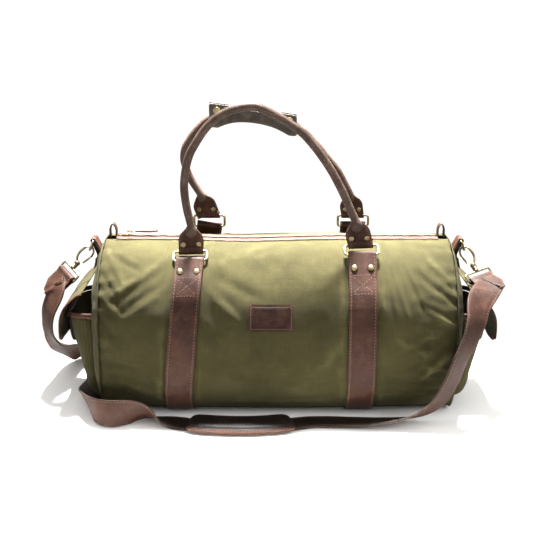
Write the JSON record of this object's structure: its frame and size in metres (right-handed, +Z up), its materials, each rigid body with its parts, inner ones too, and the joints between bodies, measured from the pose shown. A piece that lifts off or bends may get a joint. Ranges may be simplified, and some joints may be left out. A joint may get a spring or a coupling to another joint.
{
  "type": "duffel bag",
  "caption": "Soft barrel-shaped duffel bag in olive canvas with leather straps, rolled handles, zip top, end pockets and a clip-on shoulder strap.",
  "frame": {"origin": "middle of the bag's footprint, on the floor", "axes": "+X along the bag to the viewer's right, +Y to the rear handle, +Z up"},
  "size_m": [0.6558, 0.3146, 0.4249],
  "materials": {
    "canvas": "matte",
    "leather": "satin",
    "handle_leather": "satin",
    "brass": "satin",
    "lining": "matte",
    "board": "matte",
    "zip": "matte"
  },
  "bodies": {
    "bag": {"base_board": "board", "base_panel": "canvas", "body_strap_left": "leather", "body_strap_right": "leather", "d_ring_tab_left": "leather", "d_ring_tab_right": "leather", "end_panel_left": "canvas", "end_panel_right": "canvas", "end_pocket_left": "canvas", "end_pocket_right": "canvas", "front_panel": "canvas", "front_patch": "leather", "lining": "lining", "pocket_binding_left": "leather", "pocket_binding_right": "leather", "rear_panel": "canvas", "rivet_front_left_1": "brass", "rivet_front_left_2": "brass", "rivet_front_right_1": "brass", "rivet_front_right_2": "brass", "rivet_rear_left_1": "brass", "rivet_rear_left_2": "brass", "rivet_rear_right_1": "brass", "rivet_rear_right_2": "brass", "shoulder_pad": "leather", "shoulder_strap_left": "leather", "shoulder_strap_right": "leather", "strap_eye_left": "brass", "strap_eye_right": "brass", "zip_chain": "zip", "zip_facing_front": "leather", "zip_facing_rear": "leather", "zip_tab_left": "leather", "zip_tab_right": "leather", "zip_tape_front": "zip", "zip_tape_rear": "zip"},
    "front_rings": {"front_ring_left": "brass", "front_ring_right": "brass"},
    "front_handle": {"front_handle": "handle_leather", "front_handle_end_left": "leather", "front_handle_end_right": "leather"},
    "rear_rings": {"rear_ring_left": "brass", "rear_ring_right": "brass"},
    "rear_handle": {"rear_handle": "handle_leather", "rear_handle_end_left": "leather", "rear_handle_end_right": "leather", "grip_wrap": "leather"},
    "wrap_flap": {"grip_wrap_flap": "leather"},
    "slider": {"zip_slider": "brass"},
    "puller": {"zip_puller": "leather"},
    "d_ring_left": {"d_ring_left": "brass"},
    "hook_left": {"snap_hook_left": "brass"},
    "gate_left": {"hook_gate_left": "brass"},
    "flap_left": {"pocket_flap_left": "canvas", "flap_tongue_left": "leather"},
    "d_ring_right": {"d_ring_right": "brass"},
    "hook_right": {"snap_hook_right": "brass"},
    "gate_right": {"hook_gate_right": "brass"},
    "flap_right": {"pocket_flap_right": "canvas", "flap_tongue_right": "leather"}
  },
  "joints": [
    {"name": "front_ring_tilt", "type": "hinge", "parent": "bag", "child": "front_rings", "pos_m": [-0.00225, -0.078, 0.21935], "axis": [0.9994, 0, 0.0358], "range_deg": [0, 45]},
    {"name": "front_handle_swing", "type": "hinge", "parent": "front_rings", "child": "front_handle", "pos_m": [-0.00256, -0.064, 0.22808], "axis": [0.9994, 0, 0.0358], "range_deg": [-15, 65]},
    {"name": "rear_ring_tilt", "type": "hinge", "parent": "bag", "child": "rear_rings", "pos_m": [0.007, 0.08, 0.227], "axis": [1, 0, 0], "range_deg": [-45, 25]},
    {"name": "rear_handle_swing", "type": "hinge", "parent": "rear_rings", "child": "rear_handle", "pos_m": [0.007, 0.07914, 0.24348], "axis": [1, 0, 0], "range_deg": [-65, 15]},
    {"name": "wrap_flap_open", "type": "hinge", "parent": "rear_handle", "child": "wrap_flap", "pos_m": [-0.0345, 0.06954, 0.369], "axis": [0.994, 0, -0.1096], "range_deg": [0, 120]},
    {"name": "zip_travel", "type": "slide", "parent": "bag", "child": "slider", "axis": [1, 0, 0], "range_m": [0, 0.38]},
    {"name": "puller_swing", "type": "hinge", "parent": "slider", "child": "puller", "pos_m": [-0.2085, 0, 0.2388], "axis": [0, -1, 0], "range_deg": [0, 150]},
    {"name": "d_ring_swing_left", "type": "hinge", "parent": "bag", "child": "d_ring_left", "pos_m": [-0.259, 0, 0.2255], "axis": [0, 1, 0], "range_deg": [-2, 2]},
    {"name": "hook_swivel_left", "type": "hinge", "parent": "bag", "child": "hook_left", "pos_m": [-0.28771, -0.00788, 0.18859], "axis": [0.6827, 0.2469, 0.6877], "range_deg": [-12, 12]},
    {"name": "gate_open_left", "type": "hinge", "parent": "hook_left", "child": "gate_left", "pos_m": [-0.27706, -0.00536, 0.19194], "axis": [0.1739, -0.969, 0.1752], "range_deg": [0, 25], "stiffness_Nm_per_rad": 0.02, "springref_deg": -11.46},
    {"name": "pocket_flap_lift_left", "type": "hinge", "parent": "bag", "child": "flap_left", "pos_m": [-0.266, 0, 0.1668], "axis": [0, 1, 0], "range_deg": [0, 9]},
    {"name": "d_ring_swing_right", "type": "hinge", "parent": "bag", "child": "d_ring_right", "pos_m": [0.259, 0, 0.2255], "axis": [0, 1, 0], "range_deg": [-2, 2]},
    {"name": "hook_swivel_right", "type": "hinge", "parent": "bag", "child": "hook_right", "pos_m": [0.27957, -0.01688, 0.18715], "axis": [-0.4275, 0.5293, 0.7329], "range_deg": [-12, 12]},
    {"name": "gate_open_right", "type": "hinge", "parent": "hook_right", "child": "gate_right", "pos_m": [0.27072, -0.01149, 0.192], "axis": [0.2667, 0.8484, -0.4572], "range_deg": [0, 25], "stiffness_Nm_per_rad": 0.02, "springref_deg": -11.46},
    {"name": "pocket_flap_lift_right", "type": "hinge", "parent": "bag", "child": "flap_right", "pos_m": [0.266, 0, 0.1668], "axis": [0, -1, 0], "range_deg": [0, 5]}
  ]
}
